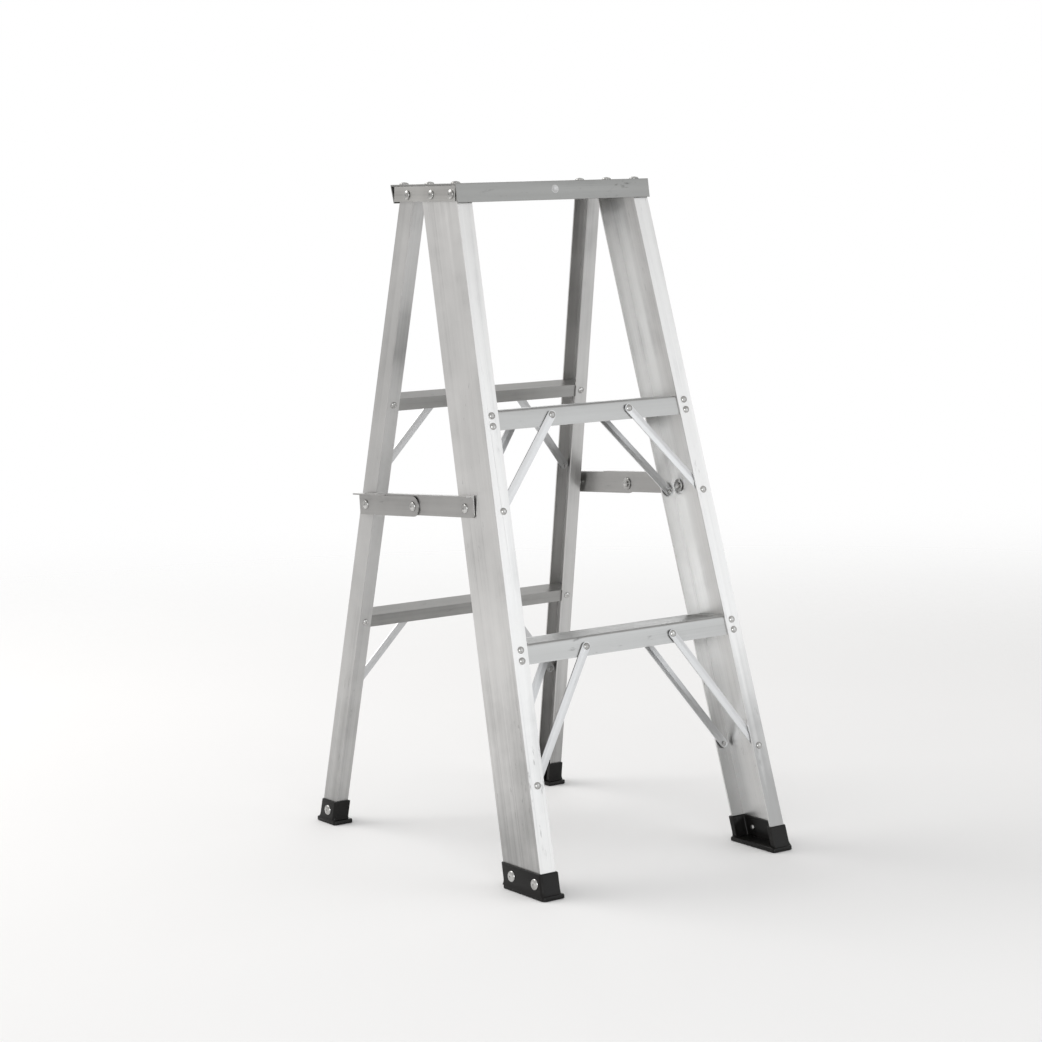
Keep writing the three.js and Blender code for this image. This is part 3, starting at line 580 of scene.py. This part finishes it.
front_tilt = math.atan(-splay(FRONT))
for side, sign in SIDES:
    body = "front_frame"
    top_places = [Matrix.Translation((sign * CAP_TOP_RIVETS_X, y, HEIGHT + GAP)) for y in CAP_TOP_RIVETS_Y]
    top_grip = CAP_WALL + GAP * 2 + BRACKET_WALL
    add_rivets(f"{side}_cap_top_rivets", body, CAP_RIVET, [(place, top_grip) for place in top_places])

    web = half_width(FRONT, CAP_SIDE_RIVETS_Z)
    stand = BRACKET_WALL + GAP * 3
    places = [side_place(sign, web, y, CAP_SIDE_RIVETS_Z, front_tilt, stand) for y in CAP_SIDE_RIVETS_Y]
    grip = BRACKET_WALL + FRONT["wall"] + GAP * 4
    add_rivets(
        f"{side}_cap_side_rivets", body, CAP_RIVET, [(place, grip) for place in places],
        [f"{side}_cap_rivet_1", f"{side}_cap_rivet_2"],
    )


def outward_reach(node, sign):
    """The outermost and innermost distances of a node from the ladder's middle plane."""
    low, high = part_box(node)
    return (high.x, low.x) if sign > 0 else (-low.x, -high.x)


def replace_side_rivet(node, body, sign, size, cad_tail):
    """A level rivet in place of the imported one, clamping the same sheets."""
    outer, inner = outward_reach(node, sign)
    low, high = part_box(node)
    x = outer - CAD_HEAD
    grip = x - inner - cad_tail
    place = side_place(sign, x, (low.y + high.y) / 2, (low.z + high.z) / 2)
    add_rivets(f"{node}_head", body, size, [(place, grip)], [node])


def replace_washer(node, body, sign, radius, bore):
    outer, inner = outward_reach(node, sign)
    low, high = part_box(node)
    mesh = bmesh.new()
    place = side_place(sign, inner, (low.y + high.y) / 2, (low.z + high.z) / 2)
    ring_solid(mesh, washer_profile(bore, radius, outer - inner), place)
    piece = finish_piece(f"{node}_ring", mesh, rivet_look, body)
    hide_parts(node)


for side, sign in SIDES:
    replace_side_rivet(f"{side}_hinge_rivet", "front_frame", sign, CAP_RIVET, CAD_TAILS["hinge"])
    replace_washer(f"{side}_hinge_washer", "front_frame", sign, CAP_RIVET[0], CAP_RIVET[2])
    pivot = f"{side}_spreader"
    replace_side_rivet(f"{pivot}_front_rivet", "front_frame", sign, PIVOT_RIVET, CAD_TAILS["pivot"])
    replace_side_rivet(f"{pivot}_middle_rivet", f"{side}_front_link", sign, PIVOT_RIVET, CAD_TAILS["pivot"])
    replace_side_rivet(f"{pivot}_rear_rivet", f"{side}_rear_link", sign, PIVOT_RIVET, CAD_TAILS["stud"])
    washers = (
        ("front_washer", "front_frame"),
        ("middle_washer", f"{side}_front_link"),
        ("rear_spacer", "rear_frame"),
    )
    for kind, body in washers:
        replace_washer(f"{pivot}_{kind}", body, sign, WASHER_RADIUS, PIVOT_RIVET[2])
    stud = nodes[f"{pivot}_rear_stud"]
    dress(stud, rivet_look)
    soften(stud, 0.0004)

for word, rails in (("front", FRONT), ("rear", REAR)):
    for side, sign in SIDES:
        replaced = sorted(n for n in nodes if n.startswith(f"{word}_{side}_foot_rivet_"))
        places = []
        for node in replaced:
            low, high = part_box(node)
            web = half_width(rails, SHOE_RIVET_Z)
            tilt = math.atan(-splay(rails))
            places.append(side_place(sign, web, (low.y + high.y) / 2, SHOE_RIVET_Z, tilt, SHOE_SKIN + GAP))
        grip = rails["wall"] + (SHOE_SKIN + GAP) * 2
        add_rivets(
            f"{word}_{side}_foot_rivets", f"{word}_frame", SHOE_RIVET,
            [(place, grip) for place in places], replaced,
        )


def add_cap_dot():
    """A plain round dot with a low lip, halfway along the cap's front flange."""
    radius, thickness, lip = 0.0056, 0.0003, 0.0009
    drop = 0.42
    segments = 40
    slant = Vector((0, -CAP_FRONT_SLANT, -CAP_DEPTH)).normalized()
    across = Vector((1, 0, 0))
    out = across.cross(-slant)
    middle = (0, CAP_FRONT_Y - CAP_FRONT_SLANT * drop, HEIGHT - CAP_DEPTH * drop)
    mesh = bmesh.new()
    lathe(mesh, [
        (0, -thickness), (radius, -thickness), (radius, thickness * 0.6), (radius - lip * 0.2, thickness),
        (radius - lip, thickness), (radius - lip * 1.3, thickness * 0.3), (0, thickness * 0.3),
    ], basis(across, -slant, out, middle), segments)
    finish_piece("cap_front_dot", mesh, dot_look, "front_frame")


add_cap_dot()

# ---------------------------------------------------------------- feet

SHOE_HEIGHT = 0.033
SOLE = 0.006
SOLE_GROOVE = (0.003, 0.0012)
# Sole: outer and inner distances from the middle, front and rear y.
SHOES = {
    "front": (FRONT, 0.2052, 0.1719, -0.2851, -0.1923),
    "rear": (REAR, 0.2023, 0.1716, 0.2347, 0.2851),
}


def fillet(corners, steps=6):
    """Rounds the corners of a closed outline, given as (x, y, radius)."""
    points = []
    for i, (x, y, radius) in enumerate(corners):
        corner = Vector((x, y))
        before = (Vector(corners[i - 1][:2]) - corner).normalized()
        after = (Vector(corners[(i + 1) % len(corners)][:2]) - corner).normalized()
        reach = radius / math.tan(before.angle(after) / 2)
        centre = corner + (before + after).normalized() * math.hypot(radius, reach)
        start = corner + before * reach - centre
        end = corner + after * reach - centre
        for step in range(steps + 1):
            points.append(centre + start.lerp(end, step / steps).normalized() * radius)
    return points


def channel_loop(outside, tip, front, rear, thickness, radii):
    """A channel's section at the right side, open towards the ladder's middle."""
    outer, inner, lip = radii
    lining = outside - thickness
    return fillet([
        (tip, front, lip), (outside, front, outer), (outside, rear, outer), (tip, rear, lip),
        (tip, rear - thickness, lip), (lining, rear - thickness, inner),
        (lining, front + thickness, inner), (tip, front + thickness, lip),
    ])


def loft(mesh, rails, sign, levels):
    """A closed solid through outlines that lean with the rail; each level is (z, outline)."""
    rings = []
    for z, points in levels:
        shift = half_width(rails, z) - rails["foot_half"]
        ring = [mesh.verts.new((sign * (p.x + shift), p.y + front_face(rails, z), z)) for p in points]
        rings.append(ring)
    for low, high in zip(rings, rings[1:]):
        for i in range(len(low)):
            j = (i + 1) % len(low)
            mesh.faces.new((low[i], low[j], high[j], high[i]))
    mesh.faces.new(rings[0])
    mesh.faces.new(rings[-1])


def sole_levels(rails, outer, inner, front, rear):
    """A rounded slab that stands upright, so the lean is taken off its outlines."""
    chamfer = 0.0007
    edges = (
        (0, chamfer), (chamfer, 0), (SOLE - 0.0015, 0), (SOLE - 0.0004, 0.0005), (SOLE, chamfer * 2),
    )
    levels = []
    for z, inset in edges:
        shift = half_width(rails, z) - rails["foot_half"]
        lean_y = front_face(rails, z)
        near, far = inner + inset - shift, outer - inset - shift
        low, high = front + inset - lean_y, rear - inset - lean_y
        levels.append((z, fillet([
            (near, low, 0.0025), (far, low, 0.0045), (far, high, 0.0045), (near, high, 0.0025),
        ])))
    return levels


def wall_levels(rails):
    """Walls on both faces of the rail, flaring into the sole and rounded along the top."""
    wall = rails["wall"] + SHOE_SKIN * 2
    flare = ((SOLE - 0.001, 0.0016, 0), (SOLE + 0.0008, 0.0009, 0), (SOLE + 0.003, 0.0003, 0))
    straight = ((SOLE + 0.006, 0, 0), (SHOE_HEIGHT - 0.0012, 0, 0))
    rounding = ((SHOE_HEIGHT - 0.0004, 0, 0.0003), (SHOE_HEIGHT, 0, 0.0009))
    levels = []
    for z, grow, trim in flare + straight + rounding:
        edge = SHOE_SKIN + grow - trim
        levels.append((z, channel_loop(
            rails["foot_half"] + edge, rails["foot_half"] - rails["flange"] - SHOE_SKIN + trim,
            -edge, rails["web"] + edge, wall + grow - trim * 2, (0.0042, 0.0022, 0.0009),
        )))
    return levels


def slot_levels(rails):
    """The slot that the rail stands in, cut out through the shoe's top."""
    sharp, through = 0.0001, 0.002
    loop = channel_loop(
        rails["foot_half"] + GAP, rails["foot_half"] - rails["flange"] - GAP,
        -GAP, rails["web"] + GAP, rails["wall"] + GAP * 2, (sharp, sharp, sharp),
    )
    return [(SOLE, loop), (SHOE_HEIGHT + through, loop)]


def groove_boxes(mesh, sign, outer, inner, front, rear):
    """Boxes across the sole's underside, evenly spread along it."""
    width, depth = SOLE_GROOVE
    past_sides = 0.004
    count = int((rear - front) / (width * 3.4))
    for i in range(1, count):
        size = Matrix.Diagonal((outer - inner + past_sides, width, depth * 2, 1))
        middle = (sign * (inner + outer) / 2, front + (rear - front) / count * i, 0)
        bmesh.ops.create_cube(mesh, size=1, matrix=Matrix.Translation(middle) @ size)


def solid_object(mesh):
    bmesh.ops.recalc_face_normals(mesh, faces=mesh.faces)
    data = bpy.data.meshes.new("solid")
    mesh.to_mesh(data)
    mesh.free()
    solid = bpy.data.objects.new("solid", data)
    scene.collection.objects.link(solid)
    return solid


def combined(first, steps):
    """The first solid with others joined on or cut away, as a new bmesh."""
    for operation, other in steps:
        change = first.modifiers.new("combine", "BOOLEAN")
        change.operation = operation
        change.object = other
        change.solver = "EXACT"
    bpy.context.view_layer.update()
    shown = first.evaluated_get(bpy.context.evaluated_depsgraph_get())
    result = bmesh.new()
    result.from_mesh(shown.data)
    for solid in (first, *(other for _, other in steps)):
        data = solid.data
        bpy.data.objects.remove(solid)
        bpy.data.meshes.remove(data)
    return result


for word, (rails, outer, inner, front, rear) in SHOES.items():
    for side, sign in SIDES:
        solids = []
        for levels in (wall_levels(rails), sole_levels(rails, outer, inner, front, rear), slot_levels(rails)):
            mesh = bmesh.new()
            loft(mesh, rails, sign, levels)
            solids.append(solid_object(mesh))
        grooves = bmesh.new()
        groove_boxes(grooves, sign, outer, inner, front, rear)
        solids.append(solid_object(grooves))
        walls, sole, slot, grooves = solids
        steps = (("UNION", sole), ("DIFFERENCE", slot), ("DIFFERENCE", grooves))
        shoe = finish_piece(
            f"{word}_{side}_shoe", combined(walls, steps), plastic_look, f"{word}_frame",
        )
        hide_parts(f"{word}_{side}_foot")

# ---------------------------------------------------------------- stage, light and camera


def add_floor():
    mesh = bmesh.new()
    bmesh.ops.create_circle(mesh, cap_ends=True, segments=96, radius=FLOOR_RADIUS)
    data = bpy.data.meshes.new("floor")
    mesh.to_mesh(data)
    mesh.free()
    floor = bpy.data.objects.new("floor", data)
    floor.location.z = -0.0004
    scene.collection.objects.link(floor)
    data.materials.append(floor_paint())


def add_area_light(name, position, target, size, power, colour):
    data = bpy.data.lights.new(name, "AREA")
    data.shape = "RECTANGLE"
    data.size, data.size_y = size
    data.energy = power
    data.color = colour
    light = bpy.data.objects.new(name, data)
    light.location = position
    light.rotation_euler = (Vector(target) - Vector(position)).to_track_quat("-Z", "Y").to_euler()
    light.visible_camera = False
    scene.collection.objects.link(light)


def add_world():
    """A white backdrop, with softer light than the backdrop itself would give."""
    world = bpy.data.worlds.new("studio")
    world.use_nodes = True
    tree = world.node_tree
    room = tree.nodes["Background"]
    room.inputs["Color"].default_value = (1, 0.99, 0.98, 1)
    room.inputs["Strength"].default_value = ROOM_LIGHT
    backdrop = tree.nodes.new("ShaderNodeBackground")
    backdrop.inputs["Color"].default_value = (1, 1, 1, 1)
    path = tree.nodes.new("ShaderNodeLightPath")
    mix = tree.nodes.new("ShaderNodeMixShader")
    tree.links.new(path.outputs["Is Camera Ray"], mix.inputs["Fac"])
    tree.links.new(room.outputs["Background"], mix.inputs[1])
    tree.links.new(backdrop.outputs["Background"], mix.inputs[2])
    tree.links.new(mix.outputs["Shader"], tree.nodes["World Output"].inputs["Surface"])
    scene.world = world


def add_camera():
    """A long lens at the front left, looking slightly down."""
    position = (-2.0512, -2.9427, 0.9025)
    heading = math.radians(34.496)
    pitch = math.radians(-7.356)
    roll = math.radians(-1.472)
    forward = Vector((
        math.sin(heading) * math.cos(pitch), math.cos(heading) * math.cos(pitch), math.sin(pitch),
    ))
    level = Vector((math.cos(heading), -math.sin(heading), 0))
    right = level * math.cos(roll) + level.cross(forward) * math.sin(roll)
    data = bpy.data.cameras.new("camera")
    data.sensor_width = 36
    data.lens = 91.32
    camera = bpy.data.objects.new("camera", data)
    camera.matrix_world = basis(right, right.cross(forward), -forward, position)
    scene.collection.objects.link(camera)
    scene.camera = camera


add_floor()
add_world()
add_area_light("softbox_right", (1.7, -2.75, 1.15), (0, 0, 0.45), (1.9, 1.9), 10.8, (0.93, 0.965, 1))
add_area_light("softbox_back", (-1.6, 1.9, 2.6), (-0.9, 1.1, 0), (2.2, 2.2), 45, (1, 0.985, 0.97))
add_area_light("softbox_left", (-1.9, -3.8, 1.1), (0.1, -0.1, 0.45), (2.5, 1.6), 40, (0.955, 0.98, 1))
add_area_light("softbox_right_back", (2.6, 3.6, 1.2), (0, 0, 0.5), (2.6, 1.6), 18, (0.98, 0.99, 1))
add_camera()
scene.view_settings.view_transform = "Standard"
